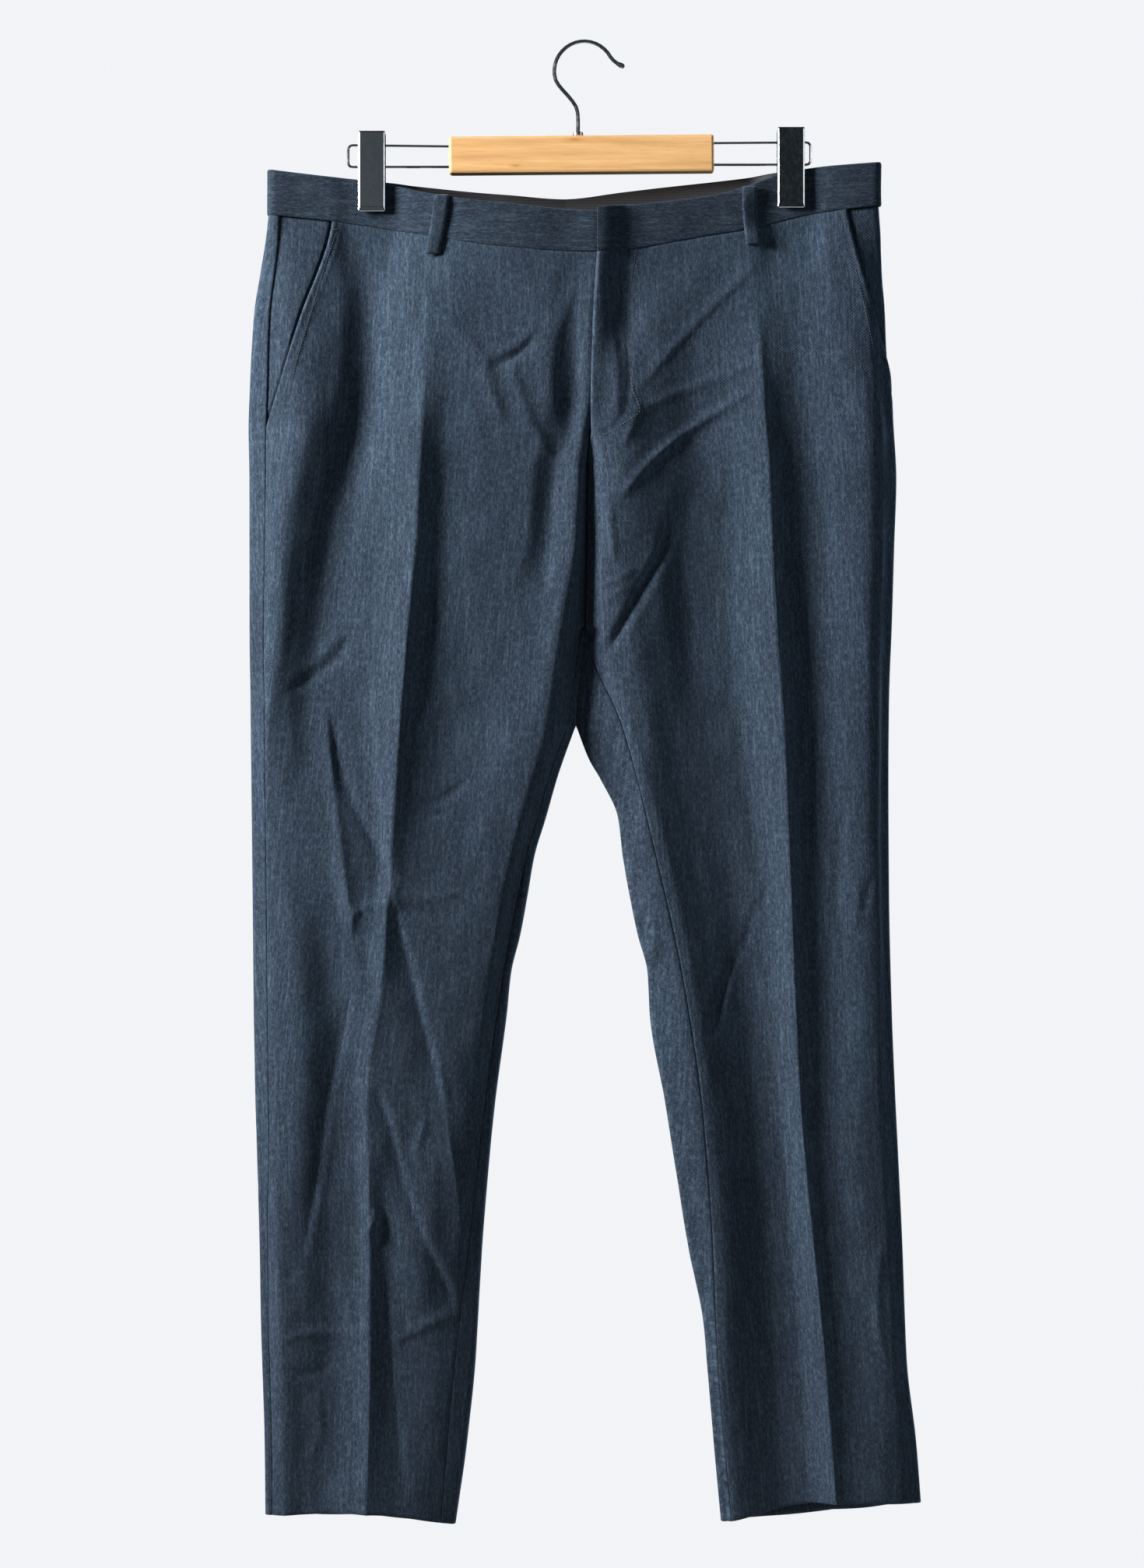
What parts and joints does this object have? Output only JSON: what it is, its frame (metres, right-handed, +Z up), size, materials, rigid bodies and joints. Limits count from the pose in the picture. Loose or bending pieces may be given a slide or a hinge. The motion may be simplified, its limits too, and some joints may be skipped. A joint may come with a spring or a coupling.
{
  "type": "dress trousers on a wooden clip hanger",
  "caption": "Long flat-front dress trousers with slanted side pockets, belt loops and creased legs, hanging by the waistband from a wooden bar hanger with metal clips.",
  "frame": {"origin": "underside of the hook's crown, where the hanger rests on a rod", "axes": "+Z up; -Y out of the trousers' front; +X towards the wearer's left; the legs hang down along -Z"},
  "size_m": [0.5398, 0.0598, 1.19],
  "materials": {
    "wool": "matt melange blue-grey worsted",
    "lining": "smooth dark grey-brown lining",
    "zip": "woven zip tape with a matt chain",
    "wood": "clear satin varnish on pale wood",
    "chrome": "polished",
    "rubber": "matt"
  },
  "bodies": {
    "root": {"front_right": "wool", "back_right": "wool", "pocket_facing_right": "wool", "waistband_right": "wool", "lining_right": "lining", "front_left": "wool", "back_left": "wool", "pocket_facing_left": "wool", "waistband_left": "wool", "lining_left": "lining", "fly_shield": "wool", "fly_zip": "zip", "loop_front_right": "wool", "loop_front_left": "wool", "loop_back_right": "wool", "loop_back_left": "wool", "loop_back_centre": "wool", "bar": "wood", "arm_right": "chrome", "arm_left": "chrome", "hook": "chrome", "hook_collar": "chrome", "clip_right_plate_front": "chrome", "clip_right_pad_front": "rubber", "clip_right_plate_back": "chrome", "clip_right_pad_back": "rubber", "clip_right_spring": "chrome", "clip_left_plate_front": "chrome", "clip_left_pad_front": "rubber", "clip_left_plate_back": "chrome", "clip_left_pad_back": "rubber", "clip_left_spring": "chrome"}
  },
  "joints": []
}
